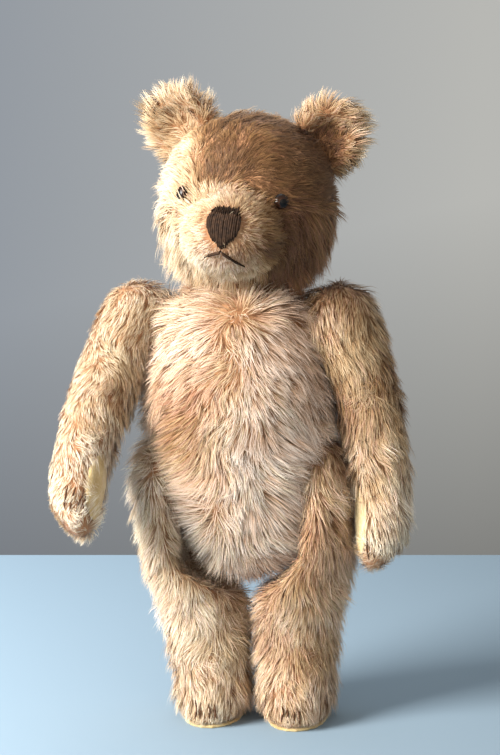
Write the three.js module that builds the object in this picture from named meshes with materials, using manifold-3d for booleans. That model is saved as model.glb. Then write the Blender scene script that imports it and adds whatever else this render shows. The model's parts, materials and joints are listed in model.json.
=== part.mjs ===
// A jointed mohair teddy bear, 430 mm tall with its fur, built as it comes apart on a bench.
// Millimetres. The bear faces -Y, +Z is up, and its felt soles stand on z = 0.
// Each limb is a sewn cover, its stuffing and one half of a disc joint; the other half is in the torso.
import * as THREE from 'three';
import { mergeVertices } from 'three/addons/utils/BufferGeometryUtils.js';
import Module from 'manifold-3d';

const wasm = await Module();
wasm.setup();

// Driving dimensions
const WALL = 1.5; // woven mohair backing
const GAP = 0.3; // kept between neighbouring pieces
const STUFFING_INSET = WALL + 2 * GAP; // how far the stuffing lies under the skin
const HEAD_TILT = THREE.MathUtils.degToRad(4.5); // the worn neck leans the head to +X
const HEAD_TURN = THREE.MathUtils.degToRad(-1.5);
const SHOULDER_TILT = THREE.MathUtils.degToRad(13); // the shoulder axes point outwards and up
const NECK = new THREE.Vector3(0, 2, 281);
const SHOULDER = {
  right: new THREE.Vector3(-52, 2, 257),
  left: new THREE.Vector3(47, 2, 257),
};
const HIP = {
  right: new THREE.Vector3(-43, -1, 152),
  left: new THREE.Vector3(46, -1, 152),
};
const ARM_SWING = { right: 33, left: 3 }; // degrees forward of hanging, at rest
const LEG_LEAN = 0.07; // how far the legs slant towards +X, for each millimetre down
const SOLE_THICK = 2; // felt sole
const INSOLE_THICK = 2; // card insole inside the foot
const FOOT_CENTRE_X = -16.5; // from the hip joint, before the slant
const SIDES = { right: -1, left: 1 }; // the bear's own right and left

// One disc joint, counted outwards from the seam between the two covers
const DISC_THICK = 2.5;
const WASHER_THICK = 1.2;
const WASHER_RADIUS = 9;
const SHAFT_HOLE = 3.4;
const DISC_START = GAP + WALL + GAP;
const WASHER_START = DISC_START + DISC_THICK + GAP;
const HARDWARE_START = WASHER_START + WASHER_THICK + GAP;
const PIN = {
  wireRadius: 1.2,
  legOffset: 1.6,
  curlRadius: 3.6,
  curlTurn: 160, // degrees
  curlSteps: 5,
  eyeLength: 8,
  eyeHalfWidth: 3.6,
};
const PIN_POCKET = { radius: 13, depth: 19 };
const DISC_RADIUS = { neck: 22, shoulder: 17, hip: 22 };
const DISC_SIDES = 16;
const WASHER_SIDES = 12;

// The felt patch of each palm, in the frame of its shoulder joint
const PAW_PAD = {
  halfWidth: 11,
  halfHeight: 23,
  facing: THREE.MathUtils.degToRad(30), // forwards of straight in
  centre: new THREE.Vector3(18, -8, -127),
};

// Growler in the tummy: a card tube lying front to back behind its own perforated lid
const GROWLER = {
  radius: 19,
  wall: 1.2,
  front: 3,
  back: 44,
  z: 203,
  lidHoles: { count: 6, radius: 1.8, circle: 10 },
  bellows: { folds: 3, fold: 4, valley: 12, ridge: 15 },
  weight: { radius: 14, thick: 4 },
};

const MATERIALS = {
  mohair: { color: 0xc8ac8c, roughness: 0.85, metalness: 0 },
  wood_wool: { color: 0xcdb47e, roughness: 0.95, metalness: 0 },
  felt: { color: 0xd9c377, roughness: 0.9, metalness: 0 },
  card: { color: 0x9a7b58, roughness: 0.85, metalness: 0 },
  steel: { color: 0x8d8f92, roughness: 0.4, metalness: 0.9 },
  lead: { color: 0x5a5c60, roughness: 0.6, metalness: 0.8 },
  glass: { color: 0x2a1508, roughness: 0.08, metalness: 0 },
  thread: { color: 0x2c1d12, roughness: 0.8, metalness: 0 },
  oilcloth: { color: 0x6b5a3f, roughness: 0.7, metalness: 0 },
};

// ---------------------------------------------------------------- solids

function toSolid(geometry) {
  const bare = geometry.clone();
  bare.deleteAttribute('normal');
  bare.deleteAttribute('uv');
  const merged = mergeVertices(bare);
  return new wasm.Manifold(
    new wasm.Mesh({
      numProp: 3,
      vertProperties: new Float32Array(merged.attributes.position.array),
      triVerts: new Uint32Array(merged.index.array),
    }),
  );
}

function toGeometry(solid) {
  const mesh = solid.getMesh();
  const geometry = new THREE.BufferGeometry();
  geometry.setAttribute('position', new THREE.BufferAttribute(mesh.vertProperties, 3));
  geometry.setIndex(new THREE.BufferAttribute(mesh.triVerts, 1));
  geometry.computeVertexNormals();
  return geometry;
}

function joined(...geometries) {
  return geometries.map(toSolid).reduce((whole, next) => whole.add(next));
}

function cutBy(solid, tools) {
  return tools.map(toSolid).reduce((left, tool) => left.subtract(tool), solid);
}

function piece(name, material, shape) {
  const geometry = shape.isBufferGeometry ? shape : toGeometry(shape);
  const mesh = new THREE.Mesh(geometry, new THREE.MeshStandardMaterial(MATERIALS[material]));
  mesh.name = name;
  return mesh;
}

// ---------------------------------------------------------------- soft forms

// A closed smooth form: a sphere whose rings follow stations from its top pole to its bottom one.
// A station is [z, half width in x, half depth in y, centre x, centre y].
function softForm(stations, [around, rings]) {
  const spline = (toPoint, mirror) => {
    const half = stations.map(toPoint);
    const back = half.slice(1, -1).reverse();
    const points = [...half, ...back.map((p) => new THREE.Vector3(mirror * p.x, mirror * p.y, p.z))];
    return new THREE.CatmullRomCurve3(points, true, 'catmullrom', 0.5);
  };
  const sizes = spline(([z, wide, deep]) => new THREE.Vector3(wide, deep, z), -1);
  const centres = spline(([z, , , x, y]) => new THREE.Vector3(x, y, z), 1);
  const form = new THREE.SphereGeometry(1, around, rings);
  const position = form.attributes.position;
  const p = new THREE.Vector3();
  for (let i = 0; i < position.count; i += 1) {
    p.fromBufferAttribute(position, i);
    const along = Math.acos(THREE.MathUtils.clamp(p.y, -1, 1)) / (2 * Math.PI);
    const round = Math.hypot(p.x, p.z) || 1;
    const size = sizes.getPoint(along);
    const centre = centres.getPoint(along);
    position.setXYZ(i, centre.x + (size.x * p.x) / round, centre.y - (size.y * p.z) / round, size.z);
  }
  return form;
}

// The form moved in along its own normals, as a lining lies inside a skin. A negative inset grows it.
function lining(form, inset) {
  const bare = form.clone();
  bare.deleteAttribute('normal');
  bare.deleteAttribute('uv');
  const merged = mergeVertices(bare);
  merged.computeVertexNormals();
  const { position, normal } = merged.attributes;
  for (let i = 0; i < position.count; i += 1) {
    position.setXYZ(
      i,
      position.getX(i) - inset * normal.getX(i),
      position.getY(i) - inset * normal.getY(i),
      position.getZ(i) - inset * normal.getZ(i),
    );
  }
  return merged;
}

function ellipsoid([x, y, z], [rx, ry, rz], [around, rings]) {
  return new THREE.SphereGeometry(1, around, rings).scale(rx, ry, rz).translate(x, y, z);
}

// A cylinder along X from one x to another.
function barX(radius, from, to, sides = 16) {
  const bar = new THREE.CylinderGeometry(radius, radius, Math.abs(to - from), sides);
  return bar.rotateZ(Math.PI / 2).translate((from + to) / 2, 0, 0);
}

function block([x0, y0, z0], [x1, y1, z1]) {
  const box = new THREE.BoxGeometry(x1 - x0, y1 - y0, z1 - z0);
  return box.translate((x0 + x1) / 2, (y0 + y1) / 2, (z0 + z1) / 2);
}

// A flat ring round the X axis, between two radii and two places along it.
function ringX(inner, outer, from, to, sides) {
  const outline = [[inner, 0], [outer, 0], [outer, 1], [inner, 1], [inner, 0]];
  const profile = outline.map(([r, end]) => new THREE.Vector2(r, end * (to - from)));
  return new THREE.LatheGeometry(profile, sides).rotateZ(-Math.PI / 2).translate(from, 0, 0);
}

// ---------------------------------------------------------------- disc joints

// Half the outline of a split pin in the XZ plane: a curled end in the torso, a leg and half an eye.
function pinHalf() {
  const { legOffset, curlRadius, curlTurn, curlSteps, eyeLength, eyeHalfWidth } = PIN;
  const curlStart = -HARDWARE_START - curlRadius;
  const points = [];
  for (let i = curlSteps; i > 0; i -= 1) {
    const turn = THREE.MathUtils.degToRad((i / curlSteps) * curlTurn);
    points.push([curlStart - curlRadius * Math.sin(turn), legOffset + curlRadius * (1 - Math.cos(turn))]);
  }
  points.push([curlStart, legOffset], [0, legOffset], [HARDWARE_START, legOffset]);
  points.push([HARDWARE_START + 0.25 * eyeLength, 0.85 * eyeHalfWidth]);
  points.push([HARDWARE_START + 0.58 * eyeLength, eyeHalfWidth]);
  points.push([HARDWARE_START + 0.88 * eyeLength, 0.7 * eyeHalfWidth]);
  return points;
}

function splitPin(side) {
  const half = pinHalf();
  const eyeTop = [HARDWARE_START + PIN.eyeLength, 0];
  const outline = [...half, eyeTop, ...half.map(([x, z]) => [x, -z]).reverse()];
  const path = new THREE.CatmullRomCurve3(outline.map(([x, z]) => new THREE.Vector3(side * x, 0, z)));
  const section = new THREE.Shape().absarc(0, 0, PIN.wireRadius, 0, 2 * Math.PI);
  return new THREE.ExtrudeGeometry(section, { extrudePath: path, steps: 26, curveSegments: 3 });
}

// The discs, washers and pin of one joint, on an axis along local X; outwards is side * X.
function discJoint(name, discRadius, side) {
  const ring = (outwards, start, thick, radius, sides) => {
    const from = outwards > 0 ? start : -start - thick;
    return ringX(SHAFT_HOLE, radius, from, from + thick, sides);
  };
  const group = new THREE.Group();
  group.add(piece(`${name}_split_pin`, 'steel', splitPin(side)));
  for (const [half, outwards] of [['limb', side], ['torso', -side]]) {
    const disc = ring(outwards, DISC_START, DISC_THICK, discRadius, DISC_SIDES);
    const washer = ring(outwards, WASHER_START, WASHER_THICK, WASHER_RADIUS, WASHER_SIDES);
    group.add(piece(`${name}_${half}_disc`, 'card', disc), piece(`${name}_${half}_washer`, 'steel', washer));
  }
  return group;
}

// The room that one half of a joint takes inside a limb's or the torso's stuffing.
function jointPocket(discRadius, outwards) {
  return [
    barX(discRadius + 2 * GAP, 0, outwards * (WASHER_START + GAP)),
    barX(PIN_POCKET.radius, 0, outwards * PIN_POCKET.depth, 12),
  ];
}

// The way through a cover for the split pin.
function shaftHole() {
  return barX(SHAFT_HOLE, -8, 8, 10);
}

// Everything on the torso's side of a flat seam, or of the face that lies depth behind it.
function beyondSeam(outwards, depth, [low, high]) {
  const from = outwards * depth;
  const to = -outwards * 120;
  return block([Math.min(from, to), -90, low], [Math.max(from, to), 90, high]);
}

// The room that the belly needs as a leg swings round its hip: a hollow turned about the joint's axis.
function bellyRoom(outwards, depth) {
  const outline = [[0, 44], [2, 53], [6, 58], [15, 64], [25, 68], [35, 70], [60, 71]];
  const profile = [[0, 0], ...outline, [60, 0]].map(
    ([inwards, r]) => new THREE.Vector2(r && r + depth, outwards * (depth - inwards)),
  );
  const ordered = outwards > 0 ? profile.reverse() : profile;
  return new THREE.LatheGeometry(ordered, 20).rotateZ(-Math.PI / 2);
}

function jointFrame(position, tilt, side) {
  const group = new THREE.Group();
  group.position.copy(position);
  group.rotation.y = -side * tilt;
  group.updateMatrixWorld(true);
  return group;
}

// ---------------------------------------------------------------- limbs

// A limb's skin and stuffing in its joint's frame: forms joined, cut off at the seam and hollowed.
// seam(depth) is the solid that holds everything beyond the seam face, or beyond depth behind it.
function limbShell({ outer, inner, stuffed, discRadius, side, seam, extraCuts = [], stuffingCuts = [] }) {
  const core = (inset, depth) => barX(discRadius + 3 - inset, side * depth, side * 14);
  const skin = cutBy(joined(...outer, core(0, GAP)), [seam(GAP)]);
  const hollow = cutBy(joined(...inner, core(WALL, GAP + WALL)), [seam(GAP + WALL)]);
  const filling = cutBy(joined(...stuffed, core(STUFFING_INSET, DISC_START)), [seam(DISC_START)]);
  return {
    skin,
    hollow,
    cover: cutBy(skin.subtract(hollow), [shaftHole(), ...extraCuts]),
    stuffing: cutBy(filling, [...jointPocket(discRadius, side), ...stuffingCuts]),
  };
}

function linedForms(forms) {
  return {
    outer: forms.map(({ make, fine }) => make(fine)),
    inner: forms.map(({ make, coarse }) => lining(make(coarse), WALL)),
    stuffed: forms.map(({ make, coarse }) => lining(make(coarse), STUFFING_INSET)),
  };
}

// A prism with an oval section that cuts the felt patch out of the palm, which faces in and forwards.
function pawPrism(side, grow) {
  const { halfWidth, halfHeight, facing, centre } = PAW_PAD;
  const length = 40;
  const prism = new THREE.CylinderGeometry(1, 1, length, 20);
  prism.rotateZ(Math.PI / 2).translate(-length / 2, 0, 0);
  prism.scale(1, halfWidth + grow, halfHeight + grow);
  prism.rotateZ(side > 0 ? facing : Math.PI - facing);
  return prism.translate(side * centre.x, centre.y, centre.z);
}

function arm(name) {
  const side = SIDES[name];
  const stations = [
    [27, 0, 0, 18, 0],
    [20, 15, 17, 19, 0],
    [8, 22, 24, 20, 0],
    [-12, 23, 26, 21.5, 0],
    [-40, 21.5, 25, 24, 0],
    [-70, 19.5, 23, 26, -1],
    [-100, 18, 21, 24, -4],
    [-127, 18.5, 20, 19.5, -8],
    [-146, 15.5, 17, 14.5, -11],
    [-157, 9, 10, 10, -13],
    [-162, 0, 0, 7.5, -13],
  ].map(([z, wide, deep, x, y]) => [z, wide, deep, side * x, y]);
  const make = (detail) => softForm(stations, detail);
  const pad = (grow) => pawPrism(side, grow);
  const shell = limbShell({
    ...linedForms([{ make, fine: [14, 13], coarse: [10, 10] }]),
    discRadius: DISC_RADIUS.shoulder,
    side,
    seam: (depth) => beyondSeam(side, depth, [-88, 60]),
    extraCuts: [pad(GAP)],
  });
  const pocketed = shell.skin.subtract(shell.hollow).intersect(toSolid(pad(0)));
  const frame = jointFrame(SHOULDER[name], SHOULDER_TILT, side);
  const swung = new THREE.Group();
  swung.rotation.x = -THREE.MathUtils.degToRad(ARM_SWING[name]);
  swung.add(
    piece(`${name}_arm_cover`, 'mohair', shell.cover),
    piece(`${name}_arm_stuffing`, 'wood_wool', shell.stuffing),
    piece(`${name}_paw_pad`, 'felt', pocketed),
  );
  frame.add(swung, discJoint(`${name}_shoulder`, DISC_RADIUS.shoulder, side));
  return frame;
}

// Segments round and along a limb's skin, and the plainer ones of what lies under it.
const LEG_DETAIL = { fine: [18, 14], coarse: [13, 14] };

function leg(name) {
  const side = SIDES[name];
  const floor = -HIP[name].z;
  const stations = [
    [37, 0, 0, 6, 0],
    [30, 12, 21, 7, 0],
    [14, 17, 33, 8, 0],
    [-6, 17.5, 37, 8, 0],
    [-30, 19.5, 37, 3, 0],
    [-50, 24, 35, -4, 0],
    [-68, 25.5, 32, -11, -1],
    [-88, 23.5, 29, -14, -2],
    [floor + 42, 22, 28, -15.5, -3],
    [floor + 26, 21.5, 32, -16, -8],
    [floor + 12, 21.5, 35, FOOT_CENTRE_X, -13],
    [floor, 20, 34, FOOT_CENTRE_X, -14],
    [floor - 9, 13, 23, FOOT_CENTRE_X, -13],
    [floor - 12, 0, 0, FOOT_CENTRE_X, -12],
  ].map(([z, wide, deep, x, y]) => [z, wide, deep, side * x - LEG_LEAN * Math.min(z, 0), y]);
  const make = (detail) => softForm(stations, detail);
  const below = (height) => block([-90, -90, floor - 40], [90, 90, floor + height]);
  const soleTop = SOLE_THICK + GAP;
  const insoleTop = soleTop + INSOLE_THICK;
  const shell = limbShell({
    ...linedForms([{ make, ...LEG_DETAIL }]),
    discRadius: DISC_RADIUS.hip,
    side,
    seam: (depth) => bellyRoom(side, depth),
    extraCuts: [below(soleTop)],
    stuffingCuts: [below(insoleTop + GAP)],
  });
  const slab = (low, high) => toSolid(block([-90, -90, floor + low], [90, 90, floor + high]));
  const frame = jointFrame(HIP[name], 0, side);
  frame.add(
    piece(`${name}_leg_cover`, 'mohair', shell.cover),
    piece(`${name}_leg_stuffing`, 'wood_wool', shell.stuffing),
    piece(`${name}_sole_pad`, 'felt', toSolid(make(LEG_DETAIL.fine)).intersect(slab(0, SOLE_THICK))),
    piece(
      `${name}_insole_card`,
      'card',
      toSolid(lining(make(LEG_DETAIL.coarse), STUFFING_INSET)).intersect(slab(soleTop, insoleTop)),
    ),
    discJoint(`${name}_hip`, DISC_RADIUS.hip, side),
  );
  return frame;
}

// ---------------------------------------------------------------- head

const HEAD_STATIONS = [
  [117, 0, 0, 0, 4],
  [111, 26, 26, 0, 4],
  [96, 45, 43, 0, 3],
  [72, 55, 53, 0, 2],
  [48, 57, 55, 0, 1],
  [28, 52, 50, 0, 0],
  [11, 37, 37, 0, 0],
  [0, 20, 22, 0, 0],
  [-4, 0, 0, 0, 0],
];
const MUZZLE = { centre: [0, -45, 40], radii: [31, 42, 27] };
const EYE = {
  x: { right: -34, left: 28 }, // sewn on by hand, not quite evenly
  z: 62,
  radius: 5,
  rim: 1.2,
  dome: 3.2,
  lift: 1.2,
  shankRadius: 0.7,
  shankLength: 13,
};
const EAR = { x: { right: -48, left: 45 }, y: 9, z: 102, width: 22, thick: 9, height: 27, lean: 35, turn: 14 };
const NOSE = { z: 44, width: 23, height: 27, thick: 1.6 };
const MOUTH = { radius: 0.9, route: [[1.3, 29.5], [4, 28], [8, 26], [12, 23.6]] }; // [x, z] on the muzzle

const headForms = [
  { make: (detail) => softForm(HEAD_STATIONS, detail), fine: [20, 14], coarse: [14, 10] },
  { make: (detail) => ellipsoid(MUZZLE.centre, MUZZLE.radii, detail), fine: [14, 9], coarse: [10, 7] },
];

// The point of the face skin straight in from the front, and the skin's normal there.
function facePoint(skin, x, z) {
  const ray = new THREE.Raycaster(new THREE.Vector3(x, -200, z), new THREE.Vector3(0, 1, 0));
  const [hit] = ray.intersectObject(skin);
  return { point: hit.point, normal: hit.face.normal };
}

// A dome of glass with a flat back, on a wire shank that goes into the stuffing along the skin's normal.
function eyeParts(skin, name) {
  const { point, normal } = facePoint(skin, EYE.x[name], EYE.z);
  const { radius, rim, dome, lift, shankRadius, shankLength } = EYE;
  const back = [[0, 0], [radius - 1, 0], [radius, rim / 2]];
  const profile = back.map(([r, y]) => new THREE.Vector2(r, y));
  for (let angle = 0; angle < 100; angle += 22.5) {
    const turn = THREE.MathUtils.degToRad(angle);
    profile.push(new THREE.Vector2(radius * Math.cos(turn), rim + dome * Math.sin(turn)));
  }
  const upright = new THREE.Vector3(0, 1, 0);
  const outward = new THREE.Quaternion().setFromUnitVectors(upright, normal);
  const onSkin = (geometry, along) => {
    const centre = point.clone().addScaledVector(normal, along);
    return geometry.applyQuaternion(outward).translate(centre.x, centre.y, centre.z);
  };
  const wire = new THREE.CylinderGeometry(shankRadius, shankRadius, shankLength, 8);
  const bore = new THREE.CylinderGeometry(shankRadius + GAP, shankRadius + GAP, 2 * shankLength + 4, 8);
  return {
    meshes: [
      piece(`${name}_eye`, 'glass', onSkin(new THREE.LatheGeometry(profile, 14), lift)),
      piece(`${name}_eye_shank`, 'steel', onSkin(wire, lift - GAP - shankLength / 2)),
    ],
    bore: onSkin(bore, 0),
  };
}

// The stitched nose: a shield of thread that hugs the end of the muzzle.
function noseStitching(muzzle) {
  const { width, height, thick, z } = NOSE;
  const [half, shoulder, tip] = [width / 2, height * 0.34, -height / 2];
  const shield = new THREE.Shape();
  shield.moveTo(-half, shoulder);
  shield.quadraticCurveTo(0, height * 0.6, half, shoulder);
  shield.quadraticCurveTo(half * 1.04, -height * 0.2, 0, tip);
  shield.quadraticCurveTo(-half * 1.04, -height * 0.2, -half, shoulder);
  const prism = new THREE.ExtrudeGeometry(shield, { depth: 70, bevelEnabled: false, curveSegments: 6 });
  prism.rotateX(Math.PI / 2).translate(0, -50, z);
  return toSolid(prism)
    .intersect(toSolid(lining(muzzle, -GAP - thick)))
    .subtract(toSolid(lining(muzzle, -GAP)));
}

// One thread of the mouth, from under the nose down and outwards along the muzzle.
function mouthStitch(skin, side) {
  const { radius, route } = MOUTH;
  const points = route.map(([x, z]) => {
    const { point, normal } = facePoint(skin, side * x, z);
    return point.addScaledVector(normal, radius + 2 * GAP);
  });
  const section = new THREE.Shape().absarc(0, 0, radius, 0, 2 * Math.PI);
  const path = new THREE.CatmullRomCurve3(points);
  return new THREE.ExtrudeGeometry(section, { extrudePath: path, steps: 8, curveSegments: 3 });
}

// A cupped ear, thick at its rim, cut to sit on the skull.
function ear(name, skull) {
  const side = SIDES[name];
  const place = (geometry) =>
    geometry
      .rotateZ(THREE.MathUtils.degToRad(side * EAR.turn))
      .rotateY(THREE.MathUtils.degToRad(side * EAR.lean))
      .translate(EAR.x[name], EAR.y, EAR.z);
  const body = place(ellipsoid([0, 0, 0], [EAR.width, EAR.thick, EAR.height], [14, 9]));
  const cup = place(ellipsoid([0, -EAR.thick, 0], [EAR.width - 4, EAR.thick, EAR.height - 4], [12, 7]));
  return toSolid(body).subtract(toSolid(cup)).subtract(toSolid(lining(skull, -GAP)));
}

function head() {
  const forms = linedForms(headForms);
  const [skull, muzzle] = forms.outer;
  const skin = new THREE.Mesh(toGeometry(joined(skull, muzzle)));
  const frame = new THREE.Group();
  frame.position.copy(NECK);
  frame.rotation.set(0, HEAD_TILT, HEAD_TURN, 'YXZ');
  const eyes = Object.keys(SIDES).map((name) => eyeParts(skin, name));
  const bores = eyes.map(({ bore }) => bore);

  const toUp = (geometry) => geometry.rotateY(-Math.PI / 2); // the joint's X axis is the neck's Z axis
  const core = (inset, from) => toUp(barX(DISC_RADIUS.neck + 3 - inset, from, 16));
  const below = (height) => block([-90, -90, -40], [90, 90, height]);
  const outer = cutBy(joined(...forms.outer, core(0, GAP)), [below(GAP)]);
  const inner = cutBy(joined(...forms.inner, core(WALL, GAP + WALL)), [below(GAP + WALL)]);
  const filling = cutBy(joined(...forms.stuffed, core(STUFFING_INSET, DISC_START)), [below(DISC_START)]);
  const cover = cutBy(outer.subtract(inner), [toUp(shaftHole()), ...bores]);
  const pocket = jointPocket(DISC_RADIUS.neck, 1).map(toUp);

  frame.add(
    piece('head_cover', 'mohair', cover),
    piece('head_stuffing', 'wood_wool', cutBy(filling, [...pocket, ...bores])),
    piece('nose_stitching', 'thread', noseStitching(muzzle)),
    ...eyes.flatMap(({ meshes }) => meshes),
  );
  for (const [name, side] of Object.entries(SIDES)) {
    frame.add(
      piece(`${name}_ear`, 'mohair', ear(name, skull)),
      piece(`${name}_mouth_stitch`, 'thread', mouthStitch(skin, side)),
    );
  }
  return frame;
}

// ---------------------------------------------------------------- torso

const TORSO_STATIONS = [
  [287, 0, 0, 0, 2],
  [281, 29, 27, 0, 2],
  [269, 45, 39, -1, 1],
  [250, 52, 47, -2.5, 0],
  [227, 57, 54, -2.5, -2],
  [206, 59, 57, -1, -3],
  [188, 55, 55, 1, -2],
  [166, 49, 51, 2.5, -1],
  [141, 43, 45, 4, 0],
  [120, 33, 36, 5.5, 0],
  [104, 20, 22, 7, 0],
  [97, 0, 0, 7.5, 0],
];

function neckFrame() {
  const frame = new THREE.Group();
  frame.position.copy(NECK);
  frame.rotation.y = HEAD_TILT - Math.PI / 2;
  frame.updateMatrixWorld(true);
  return frame;
}

// Each place where a limb joins the torso. outwards is its direction along the frame's X axis, and
// span is how far below and above the joint the torso is cut flat.
function torsoJoints() {
  const joints = [{ frame: neckFrame(), outwards: 1, disc: DISC_RADIUS.neck, span: [-60, 60] }];
  for (const [name, side] of Object.entries(SIDES)) {
    const shoulder = jointFrame(SHOULDER[name], SHOULDER_TILT, side);
    const hip = jointFrame(HIP[name], 0, side);
    joints.push({ frame: shoulder, outwards: side, disc: DISC_RADIUS.shoulder, span: [-100, 60] });
    joints.push({ frame: hip, outwards: side, disc: DISC_RADIUS.hip, span: [-70, 41] });
  }
  return joints;
}

function torsoSolid(form, inset, seam) {
  const joints = torsoJoints();
  const cores = joints.map(({ frame, outwards, disc }) =>
    barX(disc + 3 - inset, -outwards * seam, -outwards * 18).applyMatrix4(frame.matrix),
  );
  const faces = joints.map(({ frame, outwards, span }) =>
    beyondSeam(-outwards, seam, span).applyMatrix4(frame.matrix),
  );
  return cutBy(joined(form, ...cores), faces);
}

// A lathe form lying front to back at the growler's height, starting at one y.
function alongGrowler(profile, start, sides) {
  const points = profile.map(([r, y]) => new THREE.Vector2(r, y));
  return new THREE.LatheGeometry(points, sides).translate(0, start, GROWLER.z);
}

function growlerLid() {
  const { radius, wall, back, z, lidHoles } = GROWLER;
  const lid = new THREE.Shape().absarc(0, 0, radius, 0, 2 * Math.PI);
  for (let i = 0; i < lidHoles.count; i += 1) {
    const angle = (i * 2 * Math.PI) / lidHoles.count;
    const [x, y] = [lidHoles.circle * Math.cos(angle), lidHoles.circle * Math.sin(angle)];
    lid.holes.push(new THREE.Path().absarc(x, y, lidHoles.radius, 0, 2 * Math.PI, true));
  }
  const plate = new THREE.ExtrudeGeometry(lid, { depth: wall, bevelEnabled: false, curveSegments: 6 });
  return plate.rotateX(-Math.PI / 2).translate(0, back + GAP, z);
}

function growler() {
  const { radius, wall, front, back, bellows, weight } = GROWLER;
  const length = back - front;
  const bore = radius - wall;
  const tube = [[0, 0], [radius, 0], [radius, length], [bore, length], [bore, wall], [0, wall]];
  const bellowsLength = bellows.folds * bellows.fold;
  const pleats = [[0, 0]];
  for (let i = 0; i < bellows.folds; i += 1) {
    pleats.push([bellows.valley, i * bellows.fold], [bellows.ridge, (i + 0.5) * bellows.fold]);
  }
  pleats.push([bellows.valley, bellowsLength], [0, bellowsLength]);
  const disc = [[0, 0], [weight.radius, 0], [weight.radius, weight.thick], [0, weight.thick]];
  const bellowsStart = back - GAP - bellowsLength;
  return [
    piece('growler_tube', 'card', alongGrowler(tube, front, 24)),
    piece('growler_lid', 'steel', growlerLid()),
    piece('growler_bellows', 'oilcloth', alongGrowler(pleats, bellowsStart, 18)),
    piece('growler_weight', 'lead', alongGrowler(disc, bellowsStart - GAP - weight.thick, 18)),
  ];
}

function torso() {
  const make = (detail) => softForm(TORSO_STATIONS, detail);
  const outer = torsoSolid(make([22, 15]), 0, GAP);
  const inner = torsoSolid(lining(make([14, 11]), WALL), WALL, GAP + WALL);
  const filling = torsoSolid(lining(make([14, 11]), STUFFING_INSET), STUFFING_INSET, DISC_START);
  const holes = torsoJoints().map(({ frame }) => shaftHole().applyMatrix4(frame.matrix));
  const pockets = torsoJoints().flatMap(({ frame, outwards, disc }) =>
    jointPocket(disc, -outwards).map((tool) => tool.applyMatrix4(frame.matrix)),
  );
  const { radius, front, z } = GROWLER;
  const growlerRoom = new THREE.CylinderGeometry(radius + 2 * GAP, radius + 2 * GAP, 100, 24);
  growlerRoom.translate(0, front - GAP + 50, z);
  const group = new THREE.Group();
  group.add(
    piece('torso_cover', 'mohair', cutBy(outer.subtract(inner), holes)),
    piece('torso_stuffing', 'wood_wool', cutBy(filling, [...pockets, growlerRoom])),
    ...growler(),
  );
  return group;
}

// ---------------------------------------------------------------- assembly

function bear() {
  const neck = neckFrame();
  neck.add(discJoint('neck', DISC_RADIUS.neck, 1));
  const group = new THREE.Group();
  group.add(torso(), neck, head(), arm('right'), arm('left'), leg('right'), leg('left'));
  const middle = new THREE.Box3().setFromObject(group, true).getCenter(new THREE.Vector3());
  group.position.set(-middle.x, -middle.y, 0); // the origin is under the middle of the bear's box
  return group;
}

export default bear();
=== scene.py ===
"""The looks of a jointed mohair teddy bear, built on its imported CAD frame.

Metres. The bear faces -Y, +Z is up and +X is the bear's own left. Each stuffed part gets a padded skin
swollen by a cloth simulation, and its pile is grown from that skin as combed, tufted ribbons.
"""

import json
import math

import bmesh
import bpy
import numpy as np
from mathutils import Matrix, Vector, kdtree, noise
from mathutils.bvhtree import BVHTree

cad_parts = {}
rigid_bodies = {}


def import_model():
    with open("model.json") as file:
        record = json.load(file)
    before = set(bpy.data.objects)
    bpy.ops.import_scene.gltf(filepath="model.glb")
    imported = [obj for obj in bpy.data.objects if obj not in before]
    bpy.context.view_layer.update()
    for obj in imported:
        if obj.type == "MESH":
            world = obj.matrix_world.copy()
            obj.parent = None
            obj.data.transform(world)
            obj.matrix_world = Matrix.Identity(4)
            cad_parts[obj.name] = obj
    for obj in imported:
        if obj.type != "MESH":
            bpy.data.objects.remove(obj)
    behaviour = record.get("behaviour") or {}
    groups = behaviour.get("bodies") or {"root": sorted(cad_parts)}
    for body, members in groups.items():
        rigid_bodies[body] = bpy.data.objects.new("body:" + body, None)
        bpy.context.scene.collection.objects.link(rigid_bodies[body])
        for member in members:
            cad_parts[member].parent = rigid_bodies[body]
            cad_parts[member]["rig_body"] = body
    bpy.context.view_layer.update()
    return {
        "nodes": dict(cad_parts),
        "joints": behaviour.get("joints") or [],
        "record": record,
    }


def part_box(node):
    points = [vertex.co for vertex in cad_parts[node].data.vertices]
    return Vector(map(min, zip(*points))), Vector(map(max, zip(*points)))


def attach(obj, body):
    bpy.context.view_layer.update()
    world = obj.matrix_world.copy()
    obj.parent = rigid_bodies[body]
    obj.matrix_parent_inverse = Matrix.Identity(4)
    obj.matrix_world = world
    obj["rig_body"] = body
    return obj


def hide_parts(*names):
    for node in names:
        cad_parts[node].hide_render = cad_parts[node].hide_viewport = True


MM = 0.001
SIDES = {"right": -1, "left": 1}
UP = Vector((0, 0, 1))

# Places that the CAD model fixes, each in the frame of its own limb
HEAD_TILT = math.radians(4.5)
HEAD_TURN = math.radians(-1.5)
SHOULDER_TILT = math.radians(13)
ARM_SWING = {"right": math.radians(33), "left": math.radians(3)}
MUZZLE_CENTRE = np.array([0, -45, 40]) * MM
MUZZLE_RADII = np.array([31, 42, 27]) * MM
NOSE = {"z": 44 * MM, "width": 23 * MM, "height": 27 * MM}
NOSE_OUTLINE = ([0, 0.04, 0.16, 0.32, 0.5, 0.72, 0.88, 1], [0.05, 0.17, 0.52, 0.86, 1, 1, 0.9, 0.72])
EYE_X = {"right": -34 * MM, "left": 28 * MM}
EYE_Z = 62 * MM
EYE_RING = 6 * MM  # from the apex of an eye to the end of its coloured rings
PAW_PAD = {"x": 18 * MM, "y": -8 * MM, "z": -127 * MM, "facing": math.radians(30)}
FLOOR_BELOW_HIP = 152 * MM
FOOT_X = {"right": 27 * MM, "left": -6 * MM}  # the middle of each foot, from its hip

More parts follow.
